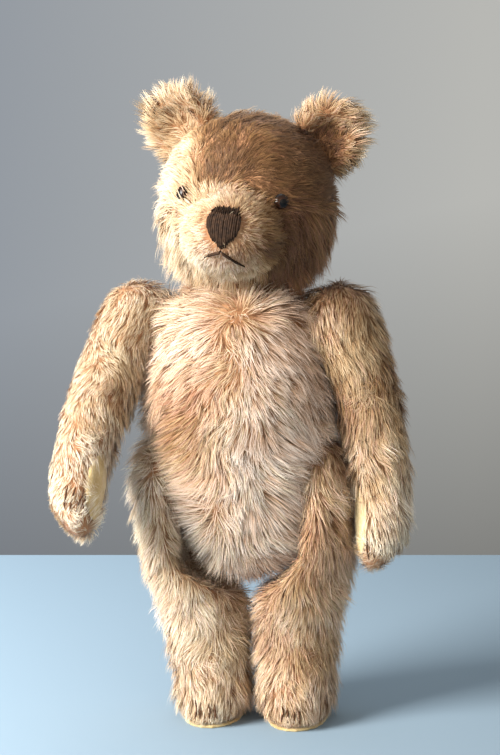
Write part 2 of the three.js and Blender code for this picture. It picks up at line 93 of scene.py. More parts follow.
# Threads. The claws are placed in the frames of the arms and legs
NOSE_STITCHES = 17
SEAM = {"stitches": 34, "low": 112 * MM, "step": 4.7 * MM}  # low is above the floor
CLAWS = 4
PAW_CLAWS = {"apart": 5.2 * MM, "x": 13 * MM, "y": -30 * MM, "z": -136 * MM, "step": -4.5 * MM}
FOOT_CLAWS = {"apart": 8.5 * MM, "y": -62 * MM, "z": 8 * MM - FLOOR_BELOW_HIP, "step": 4.4 * MM}

# Skins
VOXEL = {"body": 3.6 * MM, "ear": 1.8 * MM, "paw": 0.8 * MM, "sole": 1.2 * MM}
SHRINK = 0.8 * MM  # how far a skin steps in before the stuffing presses it out
SWELL_CAP = 2.2 * MM  # how far the stuffing can press it out
CLOTH_FRAMES = 20

# Pile
DENSITY = 0.92 / MM**2
MAX_STRANDS = 39000  # in one piece of pile, at five triangles a strand
SEGMENTS = 3
STRAND_WIDTH = np.array([0.24, 0.54]) * MM
DROOP = 0.35
TONE = {"run": 0.47, "golden": 0.005, "rosy": 0.525}  # a run's length along U, and where each run starts
REACH = 20 * MM  # how far the pile looks for a neighbour
CLEARANCE = 1.2 * MM  # how far it stays off one
TUFT_SPACING = 3.6 * MM
NOISE_SEED = 6  # fixes the patches of tone and the swirls

# How the pile of the two sides differs. Lengths are in mm, and tints go from 0, dark, to 1, light.
# Where lean is 1 the arm's pile is shorter on its outer side.
ARM_PILE = {
    "right": {"length": 8.5, "lean": 1, "shoulder_tint": 0.76, "paw_tint": 1, "worn_paw": 0},
    "left": {"length": 12.5, "lean": 0, "shoulder_tint": 0.48, "paw_tint": 0.93, "worn_paw": 1},
}
LEG_PILE = {
    "right": {"tint": 0.57, "thigh_tint": 0.2, "rosy": 0.3},
    "left": {"tint": 0.5, "thigh_tint": 0.08, "rosy": 0.4},
}
# Painted light: the right ear is painted lighter, as if lit, and the left ear darker, with painted shade in
# its cup
EAR_PILE = {"right": {"tint": 0.66, "shaded_rosy_cup": 0}, "left": {"tint": 0.56, "shaded_rosy_cup": 1}}

# The camera stands a little to the bear's left and above it, and looks at a place given from the neck
CAMERA = {"azimuth": math.radians(8.4), "elevation": math.radians(6), "distance": 1.3, "lens": 95}
AIM_FROM_NECK = Vector((8, -16, -55)) * MM
FLOOR = {"half_width": 3, "near": -3.5, "far": 0.56}


# ---------------------------------------------------------------- small tools


def ramp(value, low, high):
    """0 below low, 1 above high and smooth between them; works downwards too."""
    t = np.clip((value - low) / (high - low), 0, 1)
    return t * t * (3 - 2 * t)


def bell(value, middle, spread):
    """1 at the middle, falling to 0 on both sides of it."""
    return np.exp(-(((value - middle) / spread) ** 2))


def spot(across, up, middle, spread):
    """An oval bell round a point."""
    return np.exp(-((((across - middle[0]) / spread[0]) ** 2) + ((up - middle[1]) / spread[1]) ** 2))


def unit(vectors):
    return vectors / np.maximum(np.linalg.norm(vectors, axis=-1, keepdims=True), 1e-9)


def moved(points, matrix):
    """Points, or directions when the matrix is 3 x 3, taken through a matrix."""
    m = np.array(matrix)
    return points @ m[:3, :3].T + (m[:3, 3] if m.shape == (4, 4) else 0)


def wobble(points, size, seed):
    """Smooth noise vectors, one for each point, about as long as 0.4 on average."""
    shift = Vector((seed * 7.3, seed * 3.1, seed * 5.7))
    return np.array([noise.noise_vector(Vector(p) / size + shift) for p in points])


def add_object(name, data):
    obj = bpy.data.objects.new(name, data)
    bpy.context.scene.collection.objects.link(obj)
    return obj


def positions(mesh):
    co = np.empty(len(mesh.vertices) * 3, np.float32)
    mesh.vertices.foreach_get("co", co)
    return co.reshape(-1, 3).astype(float)


def set_positions(mesh, co):
    mesh.vertices.foreach_set("co", co.astype(np.float32).ravel())
    mesh.update()


def normals(mesh):
    no = np.empty(len(mesh.vertices) * 3, np.float32)
    mesh.vertices.foreach_get("normal", no)
    return no.reshape(-1, 3).astype(float)


def triangles(mesh):
    mesh.calc_loop_triangles()
    tri = np.empty(len(mesh.loop_triangles) * 3, np.int32)
    mesh.loop_triangles.foreach_get("vertices", tri)
    return tri.reshape(-1, 3)


def evaluated_mesh(obj):
    graph = bpy.context.evaluated_depsgraph_get()
    return bpy.data.meshes.new_from_object(obj.evaluated_get(graph))


def apply_modifiers(obj):
    mesh = evaluated_mesh(obj)
    obj.modifiers.clear()
    obj.data = mesh


def shade_smooth(mesh):
    mesh.polygons.foreach_set("use_smooth", [True] * len(mesh.polygons))


# ---------------------------------------------------------------- materials


class Nodes:
    """The node tree of a material or a world, with its shader ready to be fed."""

    def __init__(self, owner, shader):
        owner.use_nodes = True
        self.owner = owner
        self.tree = owner.node_tree
        self.shader = self.tree.nodes[shader]

    def feed(self, socket, value):
        """Gives a socket its value, or a link to it from another node's output."""
        if isinstance(value, bpy.types.NodeSocket):
            self.tree.links.new(value, socket)
        else:
            socket.default_value = value

    def add(self, kind, inputs=None, **settings):
        """A new node, its sockets fed and its settings made."""
        node = self.tree.nodes.new("ShaderNode" + kind)
        for key, value in settings.items():
            setattr(node, key, value)
        for socket, value in (inputs or {}).items():
            self.feed(node.inputs[socket], value)
        return node

    def link(self, output, socket):
        self.tree.links.new(output, self.shader.inputs[socket])

    def ramp(self, factor, stops):
        """A colour ramp; stops are (place, sRGB colour) pairs."""
        node = self.add("ValToRGB", {"Fac": factor})
        elements = node.color_ramp.elements
        while len(elements) < len(stops):
            elements.new(0.5)
        for element, (place, colour) in zip(elements, stops):
            element.position = place
            element.color = (*linear(colour), 1)
        return node.outputs["Color"]

    def mix(self, factor, a, b, blend="MIX"):
        node = self.add("Mix", data_type="RGBA", blend_type=blend)
        for number, value in ((0, factor), (6, a), (7, b)):  # its sockets for numbers and colours share names
            self.feed(node.inputs[number], value)
        return node.outputs[2]

    def place(self, kind="Object"):
        """The three coordinates of a point, as a node with outputs X, Y and Z."""
        return self.add("SeparateXYZ", {"Vector": self.add("TexCoord").outputs[kind]})

    def times_plus(self, value, factor, more, clamped=False):
        """value * factor + more, kept from 0 to 1 when clamped."""
        inputs = {0: value, 1: factor, 2: more}
        return self.add("Math", inputs, operation="MULTIPLY_ADD", use_clamp=clamped).outputs["Value"]

    def noise(self, scale, detail=3, roughness=0.6):
        where = self.add("TexCoord").outputs["Object"]
        inputs = {"Vector": where, "Scale": scale, "Detail": detail, "Roughness": roughness}
        return self.add("TexNoise", inputs).outputs["Fac"]

    def bump(self, height, strength, distance):
        node = self.add("Bump", {"Height": height, "Strength": strength, "Distance": distance})
        self.link(node.outputs["Normal"], "Normal")


def linear(colour):
    """An sRGB colour of 0 to 255 as linear light."""
    values = [c / 255 for c in colour]
    return [v / 12.92 if v <= 0.04045 else ((v + 0.055) / 1.055) ** 2.4 for v in values]


def material_nodes(name, roughness, **shaded_sockets):
    """The nodes of a new material. A socket's name is written with _ for a space."""
    n = Nodes(bpy.data.materials.new(name), "Principled BSDF")
    n.shader.inputs["Roughness"].default_value = roughness
    for socket, value in shaded_sockets.items():
        n.shader.inputs[socket.replace("_", " ")].default_value = value
    return n


def pile_material():
    """Mohair. U holds two runs of dark to light, golden below 0.5 and rosy above; V runs from root to tip."""
    n = material_nodes("mohair_pile", 0.6, Sheen_Weight=0.12, Sheen_Roughness=0.5, Specular_IOR_Level=0.3)
    uv = n.add("UVMap", uv_map="OFBake").outputs["UV"]
    split = n.add("SeparateXYZ", {"Vector": uv})
    golden = [(0, (94, 62, 30)), (0.14, (162, 123, 76)), (0.3, (216, 190, 152)), (0.48, (248, 240, 218))]
    rosy = [(0.52, (100, 66, 48)), (0.66, (180, 130, 98)), (0.82, (230, 197, 170)), (1, (250, 238, 226))]
    # Roots keep a deeper colour than the faded tips, and the same ramp also paints the shade that falls deep
    # in the pile
    root_tone_and_shade = [(0, (166, 136, 108)), (0.35, (224, 208, 192)), (0.75, (255, 255, 255))]
    tip = n.ramp(split.outputs["X"], golden + rosy)
    shade = n.ramp(split.outputs["Y"], root_tone_and_shade)
    n.link(n.mix(1.0, tip, shade, "MULTIPLY"), "Base Color")
    return n.owner


def backing_material():
    """The woven cloth that the pile grows from."""
    n = material_nodes("mohair_backing", 0.9, Sheen_Weight=0.2)
    blotches = n.noise(60)
    colour = n.ramp(blotches, [(0.3, (150, 98, 60)), (0.55, (184, 132, 90)), (0.75, (204, 160, 118))])
    where = n.add("TexCoord").outputs["Object"]
    waves = [
        n.add("TexWave", {"Vector": where, "Scale": 350, "Distortion": 1.5}, bands_direction=direction)
        for direction in ("X", "Z")
    ]
    weave = n.mix(0.5, waves[0].outputs["Color"], waves[1].outputs["Color"])
    n.link(n.mix(0.25, colour, weave, "MULTIPLY"), "Base Color")
    n.bump(weave, 0.4, 0.3 * MM)
    return n.owner


def felt_material():
    """Wool felt, yellowed and stained."""
    n = material_nodes("wool_felt", 0.95, Sheen_Weight=0.35, Sheen_Roughness=0.5)
    fibres, stains = n.noise(900, 6, 0.75), n.noise(45, 4)
    clean = n.ramp(fibres, [(0.3, (206, 176, 116)), (0.7, (236, 216, 166))])
    worn = n.ramp(stains, [(0.38, (255, 255, 255)), (0.7, (206, 182, 146))])
    n.link(n.mix(0.8, clean, worn, "MULTIPLY"), "Base Color")
    n.bump(fibres, 0.5, 0.4 * MM)
    return n.owner


def thread_material(name, dark, light):
    """Dull thread with a fine grain."""
    n = material_nodes(name, 0.8, Specular_IOR_Level=0.2)
    grain = n.noise(500, 4)
    n.link(n.ramp(grain, [(0.35, dark), (0.7, light)]), "Base Color")
    n.bump(grain, 0.6, 0.3 * MM)
    return n.owner


def glass_material(name, apex):
    """Brown glass with a black pupil round its apex."""
    n = material_nodes(name, 0.25, Specular_IOR_Level=0.3)
    where = n.add("TexCoord").outputs["Object"]
    away = n.add("VectorMath", {0: where, 1: apex}, operation="DISTANCE").outputs["Value"]
    share = n.add("Math", {0: away, 1: EYE_RING}, operation="DIVIDE").outputs["Value"]
    rings = [(0.42, (8, 5, 4)), (0.5, (50, 26, 12)), (0.8, (34, 18, 10)), (1, (16, 9, 6))]
    n.link(n.ramp(share, rings), "Base Color")
    return n.owner


def plain_material(name, dark, light, scale, roughness, metallic=0.0):
    """A mottled material with a fine bump, for what lies inside the bear."""
    n = material_nodes(name, roughness, Metallic=metallic)
    mottle = n.noise(scale, 5)
    n.link(n.ramp(mottle, [(0.3, dark), (0.7, light)]), "Base Color")
    n.bump(mottle, 0.3, 0.2 * MM)
    return n.owner


def floor_material():
    """Pale blue, with painted light across it: lightest a little to the left, with painted shade falling off
    to the right, and darker far to the left, under the key light, so that it isn't bleached there.
    """
    n = material_nodes("pale_floor", 0.8, Specular_IOR_Level=0.1)
    across = n.times_plus(n.place().outputs["X"], 0.5, 0.5)
    painted_falloff = [(0.14, (88, 102, 112)), (0.34, (160, 185, 205)), (0.62, (134, 152, 166))]
    n.link(n.ramp(across, painted_falloff), "Base Color")
    return n.owner


# ---------------------------------------------------------------- padded skins


def largest_island(mesh):
    """Leaves only the biggest connected surface of a mesh."""
    bm = bmesh.new()
    bm.from_mesh(mesh)
    unseen, best = set(bm.verts), set()
    while unseen:
        island, edge = set(), [next(iter(unseen))]
        while edge:
            vert = edge.pop()
            if vert in island:
                continue
            island.add(vert)
            edge.extend(e.other_vert(vert) for e in vert.link_edges)
        unseen -= island
        best = max(best, island, key=len)
    bmesh.ops.delete(bm, geom=[v for v in bm.verts if v not in best], context="VERTS")
    bm.to_mesh(mesh)
    bm.free()


def smoothed(co, mesh, rounds):
    """Rounds facets off without shrinking: each round is a step in and a slightly longer step out."""
    edges = np.empty(len(mesh.edges) * 2, np.int32)
    mesh.edges.foreach_get("vertices", edges)
    a, b = edges.reshape(-1, 2).T
    count = np.bincount(edges, minlength=len(co))[:, None]
    for _ in range(rounds):
        for step in (0.55, -0.57):
            total = np.stack(
                [np.bincount(a, co[b, k], len(co)) + np.bincount(b, co[a, k], len(co)) for k in range(3)], 1
            )
            co = co + step * (total / count - co)
    return co


def remeshed(name, nodes, voxel, rounds):
    """One closed, rounded skin over some CAD nodes. What lies inside it is filled."""
    bm = bmesh.new()
    for node in nodes:
        bm.from_mesh(FRAME["nodes"][node].data)
    mesh = bpy.data.meshes.new(name)
    bm.to_mesh(mesh)
    bm.free()
    obj = add_object(name, mesh)
    modifier = obj.modifiers.new("Remesh", "REMESH")
    modifier.mode = "VOXEL"
    modifier.voxel_size = voxel
    apply_modifiers(obj)
    largest_island(obj.data)
    set_positions(obj.data, smoothed(positions(obj.data), obj.data, rounds))
    shade_smooth(obj.data)
    return obj


def neighbours(body):
    """A search tree over the covers of every other body."""
    bm = bmesh.new()
    for name, obj in FRAME["nodes"].items():
        if name.endswith("_cover") and obj["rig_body"] != body:
            bm.from_mesh(obj.data)
    tree = BVHTree.FromBMesh(bm)
    bm.free()
    return tree


def room(obj, others):
    """How far each point of a skin is from the nearest other body, straight out or nearly so."""
    found = []
    for co, no in zip(positions(obj.data), normals(obj.data)):
        hit = others.ray_cast(Vector(co), Vector(no), REACH)[3]
        near = others.find_nearest(Vector(co) + Vector(no) * 2 * MM, REACH)[3]
        found.append(min(hit or REACH, (near or REACH) + 1 * MM))
    return np.array(found)


def swell(obj, free):
    """The stuffing presses the skin out: cloth under pressure, each point's way capped and scaled by free."""
    start = positions(obj.data)
    set_positions(obj.data, start - normals(obj.data) * (SHRINK * free)[:, None])
    shrunk = positions(obj.data)
    cloth = obj.modifiers.new("Cloth", "CLOTH")
    cloth.settings.quality = 4
    cloth.settings.tension_stiffness = 15
    cloth.settings.compression_stiffness = 15
    cloth.settings.bending_stiffness = 0.5
    cloth.settings.use_pressure = True
    cloth.settings.uniform_pressure_force = 4
    cloth.settings.effector_weights.gravity = 0
    scene = bpy.context.scene
    for number in range(1, CLOTH_FRAMES + 1):
        scene.frame_set(number)
    way = positions(evaluated_mesh(obj)) - shrunk
    obj.modifiers.clear()
    scene.frame_set(1)
    length = np.linalg.norm(way, axis=1, keepdims=True)
    way *= np.minimum(1, SWELL_CAP / np.maximum(length, 1e-9)) * free[:, None]
    set_positions(obj.data, smoothed(shrunk + way, obj.data, 2))


def joint_hardware(body):
    """The discs, washers and pins whose pockets in a body's stuffing are filled when its skin is made."""
    limb_side = [n for n in FRAME["nodes"] if n.endswith(("_limb_disc", "_limb_washer", "_split_pin"))]
    if body == "torso":
        return [n for n in FRAME["nodes"] if "_torso_" in n] + [n for n in limb_side if n.endswith("pin")]
    return [n for n in limb_side if FRAME["nodes"][n]["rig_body"] == body]


def padded_skin(body, rounds):
    """The stuffed skin of one body, in place of its CAD cover and stuffing."""
    cover, stuffing = body + "_cover", body + "_stuffing"
    skin = remeshed(body + "_skin", [cover, stuffing, *joint_hardware(body)], VOXEL["body"], rounds)
    others = neighbours(body)
    space = room(skin, others)
    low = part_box(cover)[0].z
    # A skin keeps its place next to another body and at its lowest, where the feet stand
    free = ramp(space, 2 * MM, 6 * MM) * ramp(positions(skin.data)[:, 2] - low, 2 * MM, 9 * MM)
    swell(skin, free)
    co = positions(skin.data)
    co[:, 2] = np.maximum(co[:, 2], low)
    set_positions(skin.data, co)
    skin.data.materials.append(MATERIAL["backing"])
    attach(skin, body)
    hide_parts(cover, stuffing)
    return skin, space, others


# ---------------------------------------------------------------- pile


def rows(root, normal, along, length, lift):
    """The middle line of each strand: it rises off the skin, then lies over along the pile and droops."""
    points = [root]
    for k in range(SEGMENTS):
        s = (k + 0.5) / SEGMENTS
        angle = (lift * (1.15 - 0.75 * s))[:, None]
        way = normal * np.sin(angle) + along * np.cos(angle)
        way[:, 2] -= DROOP * s
        points.append(points[-1] + unit(way) * (length / SEGMENTS)[:, None])
    return np.stack(points, 1)


def kept_clear(line, chosen, others):
    """Presses the chosen strands back against the side of a neighbour that they would grow into."""
    for i in chosen:
        for k in range(1, SEGMENTS + 1):
            point = Vector(line[i, k])
            found, normal = others.find_nearest(point, REACH)[:2]
            if found and (point - found).dot(normal) < CLEARANCE:
                before = Vector(line[i, k - 1])
                way = (found + normal * CLEARANCE - before).normalized()
                line[i, k] = before + way * (point - before).length


def scattered(co, tri, density, rng):
    """Random places on a skin: the three vertices round each, their shares in it, and the skin's area."""
    corners = co[tri]
    area = np.linalg.norm(np.cross(corners[:, 1] - corners[:, 0], corners[:, 2] - corners[:, 0]), axis=1) / 2
    weight = area * density[tri].mean(1)
    count = int(min(MAX_STRANDS, DENSITY * weight.sum()))
    pick = rng.choice(len(tri), count, p=weight / weight.sum())
    return tri[pick], rng.dirichlet((1, 1, 1), count), area.sum()


def tufts(root, area, rng):
    """Some strands as the leaders of tufts, and the number of the tuft that each strand belongs to."""
    count = min(max(8, int(area / TUFT_SPACING**2)), len(root))
    leaders = rng.choice(len(root), count, replace=False)
    tree = kdtree.KDTree(count)
    for i, leader in enumerate(leaders):
        tree.insert(root[leader], i)
    tree.balance()
    return leaders, np.array([tree.find(p)[1] for p in root])


def clumped(line, leaders, tuft, clump):
    """Draws each strand towards its tuft's leader, the more the nearer its tip."""
    root = line[:, 0]
    offset = (root - root[leaders][tuft])[:, None] * 0.35
    pull = (np.linspace(0, 1, SEGMENTS + 1) ** 1.3)[None, :, None] * clump
    drawn = line * (1 - pull) + (line[leaders][tuft] + offset) * pull
    drawn[:, 0] = root
    return drawn


def ribbon_points(line, normal, width, rng):
    """The vertices of flat tapered ribbons, and their shading normals, which are mostly the skin's.

    A ribbon has two vertices at each point of its line and one at the tip.
    """
    count = len(line)
    way = unit(line[:, 1:] - line[:, :-1])
    way = np.concatenate([way[:, :1], (way[:, 1:] + way[:, :-1]) / 2, way[:, -1:]], 1)
    roll = rng.normal(0, 0.35, (count, 1, 1))
    across = unit(np.cross(way, normal[:, None]) + roll * normal[:, None])
    taper = np.interp(np.linspace(0, 1, SEGMENTS + 1), [0, 0.4, 1], [0.7, 1, 0])
    half = across * (width[:, None] / 2 * taper)[..., None]
    sides = np.stack([line - half, line + half], 2)[:, :-1].reshape(count, -1, 3)
    facing = unit(np.cross(across, way))
    facing *= np.sign(np.sum(facing * normal[:, None], -1, keepdims=True) + 1e-6)
    shade = unit(0.55 * normal[:, None] + 0.45 * facing + 0.1 * rng.normal(0, 1, (count, 1, 3)))
    shade = np.concatenate([np.repeat(shade[:, :-1], 2, 1), shade[:, -1:]], 1)
    return np.concatenate([sides, line[:, -1:]], 1), shade


def ribbon_mesh(name, points, shade, tone):
    """Ribbons of quads, with a triangle at the tip. U holds a ribbon's tone, and V runs from root to tip."""
    count, size = points.shape[:2]
    quads = [[2 * k, 2 * k + 1, 2 * k + 3, 2 * k + 2] for k in range(SEGMENTS - 1)]
    corners = np.array(sum(quads, []) + [size - 3, size - 2, size - 1])
    loops = (np.arange(count)[:, None] * size + corners).ravel()
    starts = np.arange(count)[:, None] * len(corners) + 4 * np.arange(SEGMENTS)
    mesh = bpy.data.meshes.new(name)
    mesh.vertices.add(count * size)
    mesh.loops.add(len(loops))
    mesh.polygons.add(count * SEGMENTS)
    mesh.vertices.foreach_set("co", points.astype(np.float32).ravel())
    mesh.loops.foreach_set("vertex_index", loops.astype(np.int32))
    mesh.polygons.foreach_set("loop_start", starts.ravel().astype(np.int32))
    mesh.update(calc_edges=True)
    shade_smooth(mesh)
    mesh.normals_split_custom_set_from_vertices(shade.reshape(-1, 3))

    level = np.append(np.repeat(np.arange(SEGMENTS), 2), SEGMENTS) / SEGMENTS
    edge = np.append(np.tile([-1.0, 1.0], SEGMENTS), 0) * 0.015
    u = tone[:, None] + edge[corners]
    v = np.broadcast_to(0.01 + 0.98 * level[corners], u.shape)
    layer = mesh.uv_layers.new(name="OFBake")
    layer.uv.foreach_set("vector", np.stack([u, v], -1).astype(np.float32).ravel())
    return mesh


def grow(name, body, skin, space, others, style, seed):
    """Pile on a skin.

    style(points, normals) gives for each point of the skin: lay, the way that the pile is combed; the
    length of a strand; lift, its angle off the skin; tint, from 0, dark, to 1, light; rosy, the share of
    rosy strands among the golden ones; and density, where 1 is DENSITY. Its clump is how far all strands
    are drawn to their tuft's leader.
    """
    rng = np.random.default_rng(seed)
    co, no = positions(skin.data), normals(skin.data)
    look = style(co, no)
    open_air = 0.02 + ramp(space, 1.2 * MM, 2.5 * MM)
    verts, shares, area = scattered(co, triangles(skin.data), look["density"] * open_air, rng)
    count = len(verts)

    def at(values):
        return np.einsum("ij,ij...->i...", shares, values[verts])

    root, normal = at(co), unit(at(no))
    lay, length, lift, tint, rosy = (at(look[key]) for key in ("lay", "length", "lift", "tint", "rosy"))

    # What the strands of a tuft share
    leaders, tuft = tufts(root, area, rng)
    heads, number = root[leaders], len(leaders)
    swirl = wobble(heads, 22 * MM, seed) * 1.2 + rng.normal(0, 0.13, (number, 3))
    lean = wobble(heads, 7 * MM, seed + 50)[:, 0] * 0.5 + rng.normal(0, 0.07, number)
    shade = wobble(heads, 9 * MM, seed + 80)[:, 0] * 0.18 + rng.normal(0, 0.03, number)
    stretch = rng.normal(1, 0.12, number)

    # Each strand's own way
    along = lay + swirl[tuft] + rng.normal(0, 0.2, (count, 3))
    along = unit(along - normal * np.sum(along * normal, 1, keepdims=True))
    length = length * np.clip(stretch[tuft] * rng.normal(1, 0.18, count), 0.4, 1.5)
    lift = np.clip(lift + lean[tuft] + rng.normal(0, 0.1, count), 0.03, 1.4)
    line = clumped(rows(root, normal, along, length, lift), leaders, tuft, look["clump"])
    kept_clear(line, np.nonzero(at(space) < REACH * 0.99)[0], others)
    line[:, :, 2] = np.maximum(line[:, :, 2], 0.3 * MM)  # the pile lies on the floor, not under it

    # Its tone, as a place in one of the two runs of the pile's material
    tone = np.clip(tint + shade[tuft] + rng.normal(0, 0.06, count), 0.04, 0.95) * TONE["run"]
    is_rosy = rng.random(count) < rosy + 0.4 * wobble(root, 30 * MM, seed + 30)[:, 0]
    tone += np.where(is_rosy, TONE["rosy"], TONE["golden"])
    width = rng.uniform(*STRAND_WIDTH, count) * np.clip(length / (9 * MM), 0.75, 1.1)
    mesh = ribbon_mesh(name, *ribbon_points(line, normal, width, rng), tone)
    mesh.materials.append(MATERIAL["pile"])
    obj = add_object(name, mesh)
    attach(obj, body)


def torso_style(co, no):
    """Pile parted down the chest and combed out and down, golden where it's worn, long round the bottom."""
    x, z = co[:, 0] - PLACE["neck"][0], co[:, 2]
    front = ramp(-no[:, 1], -0.1, 0.6)
    part = np.tanh(x / (20 * MM))
    chest = front * ramp(z, 0.17, 0.24)
    flank = ramp(-no[:, 1], -0.6, 0.1) * ramp(np.abs(no[:, 0]), 0.1, 0.45) * ramp(z, 0.215, 0.18)
    side = ramp(np.abs(no[:, 0]), 0.6, 0.9) * ramp(z, 0.16, 0.19)
    collar = ramp(z, 0.255, 0.272)
    across = part * (0.35 * front + 0.8 * chest + 1.7 * flank)
    lay = np.stack([across, 0.15 * (1 - front), -0.8 + 0.7 * collar + 0.2 * flank], 1)
    seam = front * bell(x, 0, 7 * MM) * ramp(z, 0.16, 0.22)
    hem = ramp(z, 0.145, 0.10)
    worn = front * spot(x, z, (-24 * MM, 0.2), (20 * MM, 0.038))
    # Painted light: the upper right chest and the middle of the front are painted lighter, as highlights
    painted_light = front * spot(x, z, (-26 * MM, 0.248), (18 * MM, 0.02))
    painted_light += 1.3 * front * spot(x, z, (9 * MM, 0.19), (16 * MM, 0.045))
    return {
        "lay": lay,
        "length": (13 - 3 * seam + 2 * hem + 6 * flank + 2 * side + 3 * collar) * MM,
        "lift": 0.5 + 0.4 * collar + 0.08 * flank + 0.3 * side,
        "tint": 0.73 - 0.12 * seam - 0.32 * worn + 0.14 * painted_light + 0.16 * wobble(co, 34 * MM, 3)[:, 0],
        "rosy": 0.6 + 0.3 * ramp(x, -30 * MM, 20 * MM) - 0.4 * seam,
        "density": 1 + 0.3 * flank - 0.15 * seam,
        "clump": 0.36,
    }


def head_style(co, no):
    """Pile swirled back from the nose into a ruff, short and worn on the brow and long on the cheeks."""
    local = moved(co, PLACE["head"].inverted())
    face = moved(no, PLACE["head"].inverted().to_3x3())
    x, y, z = local.T
    front = ramp(-face[:, 1], -0.5, 0.3)
    tip = np.array([0, MUZZLE_CENTRE[1] - MUZZLE_RADII[1], NOSE["z"]])
    out = unit(local - tip)
    reach = np.linalg.norm((local - MUZZLE_CENTRE) / (MUZZLE_RADII * 0.95), axis=1)
    from_nose = np.hypot(x / NOSE["width"], (z - NOSE["z"]) / NOSE["height"]) + 9 * (y > MUZZLE_CENTRE[1])

    # Where things are
    muzzle = ramp(reach, 1.22, 1.02) * ramp(-y, 32 * MM, 48 * MM)
    ruff = bell(reach, 1.08, 0.12) * ramp(-y, 30 * MM, 44 * MM)
    # Painted shade: the crease beside the muzzle, towards the left, is painted darker; its pile is also
    # shorter
    shaded_crease = bell(reach, 1.25, 0.22) * ramp(-y, 14 * MM, 30 * MM) * ramp(x, -4 * MM, 14 * MM)
    bald = ramp(from_nose, 0.9, 0.6)
    lip = spot(x, z, (0, 27 * MM), (15 * MM, 8 * MM)) * ramp(-y, 60 * MM, 70 * MM)
    brow = ramp(z, 58 * MM, 68 * MM) * ramp(-y, -16 * MM, 20 * MM)
    brow *= ramp(x, -42 * MM, -24 * MM) * (1 - muzzle)
    scalp = spot(x, z, (0, 92 * MM), (11 * MM, 11 * MM)) * front
    cheek = ramp(z, 66 * MM, 50 * MM) * (1 - muzzle)
    jaw = ramp(z, 42 * MM, 26 * MM) * ramp(np.abs(x), 22 * MM, 40 * MM)
    # Painted shade: the pile round the eyes is painted darker, most round the left eye; it is also longer and
    # lifted
    shaded_sockets = sum(spot(x, z, (eye, EYE_Z), (8 * MM, 8 * MM)) for eye in EYE_X.values())
    shaded_sockets = np.clip(shaded_sockets, 0, 1) * front

    # Painted light and shade: the muzzle and the right side are painted lighter, as if lit, and the left side
    # is painted darker, as if in shade
    lit = muzzle * ramp(x, 25 * MM, 14 * MM)
    painted_light = ramp(x, -18 * MM, -38 * MM) * ramp(z, 104 * MM, 90 * MM)
    painted_light += 0.7 * ramp(x, 2 * MM, -28 * MM) * ramp(z, 70 * MM, 54 * MM)
    shade_beside_muzzle = ramp(x, 12 * MM, 26 * MM) * ramp(-y, 0, 30 * MM)
    shaded = np.maximum(shade_beside_muzzle, ramp(x, 14 * MM, 36 * MM)) * front * (1 - lit)
    tint = 0.62 + 0.1 * lit + 0.06 * painted_light + 0.02 * scalp - 0.08 * bald
    # The brow is worn brown except where the side is painted lighter, and the eye sockets take painted shade
    tint -= 0.56 * brow * np.clip(1 - painted_light, 0, 1) + shaded_sockets * (0.1 + 0.25 * ramp(x, -10 * MM, 10 * MM))
    tint -= 0.5 * shaded_crease + 0.44 * shaded

    outward = front * (1 - 0.75 * cheek)
    lay = out * outward[:, None] + np.array([0.0, 0.35, -0.9]) * (1 - outward[:, None])
    lay[:, 0] += 0.5 * brow
    length = 12.5 - muzzle * (3.5 + 5 * ramp(from_nose, 1.6, 0.5))
    length += 2 * ruff - 5 * brow + 2 * shaded_sockets + 4 * jaw - 3 * shaded_crease - 3.5 * lip
    return {
        "lay": moved(lay, PLACE["head"].to_3x3()),
        "length": length * MM,
        "lift": 0.44 + 0.4 * ruff - 0.2 * brow + 0.35 * shaded_sockets + 0.22 * jaw,
        "tint": tint + 0.12 * wobble(co, 30 * MM, 5)[:, 0],
        "rosy": 0.15 + 0.35 * cheek * ramp(x, 0, 30 * MM) + 0.4 * scalp + 0.5 * lip - 0.25 * brow,
        "density": (1 + 0.8 * muzzle + 0.5 * brow) * (1 - 0.97 * ramp(from_nose, 0.52, 0.46)),
        "clump": 0.38,
    }


def arm_style(side):
    """Pile combed down to the paw, in towards the bare felt pad, and longer next to the neck."""
    frame, kind = PLACE[side + "_arm"], ARM_PILE[side]
    pad = np.array([SIDES[side] * PAW_PAD["x"], PAW_PAD["y"], PAW_PAD["z"]])

    def style(co, no):
        local = moved(co, frame.inverted())
        z, inwards = local[:, 2], -no[:, 0] * SIDES[side]
        down = ramp(z, -60 * MM, -130 * MM)
        palm = pad_distance(local, side)
        worn = kind["worn_paw"] * ramp(z, -140 * MM, -154 * MM)
        inner = kind["lean"] * ramp(inwards, -1, 1)
        neck = ramp(inwards, -0.1, 0.6) * ramp(z, 0, 14 * MM)
        lay = -np.array(frame.to_3x3().col[2]) + 0.25 * no * [1, 1, 0]
        lay = lay + moved(unit(pad - local), frame.to_3x3()) * 2 * ramp(palm, 1, 0.4)[:, None]
        length = kind["length"] - 2 * kind["lean"] - 1.5 * down - 4.5 * worn + 4 * inner + 4 * neck
        tint = kind["shoulder_tint"] + (kind["paw_tint"] - kind["shoulder_tint"]) * down
        return {
            "lay": lay,
            "length": length * MM,
            "lift": 0.46 - 0.12 * kind["lean"] + 0.24 * inner + 0.2 * neck,
            "tint": tint - 0.25 * worn + 0.22 * wobble(co, 28 * MM, 7)[:, 0],
            "rosy": np.full(len(co), 0.15),
            "density": 0.01 + ramp(palm, 0.01, 0.1),
            "clump": 0.42,
        }

    return style


def pad_distance(local, side):
    """0 on an arm's felt pad, rising to 1 a little way off it."""
    flat = local - np.array([SIDES[side] * PAW_PAD["x"], PAW_PAD["y"], PAW_PAD["z"]])
    inwards = np.array([-SIDES[side] * math.cos(PAW_PAD["facing"]), -math.sin(PAW_PAD["facing"]), 0])
    oval = np.hypot(flat @ np.cross(inwards, UP) / (11 * MM), flat[:, 2] / (23 * MM))
    return np.where(flat @ inwards > 0, ramp(oval, 0.8, 1.7), 1)


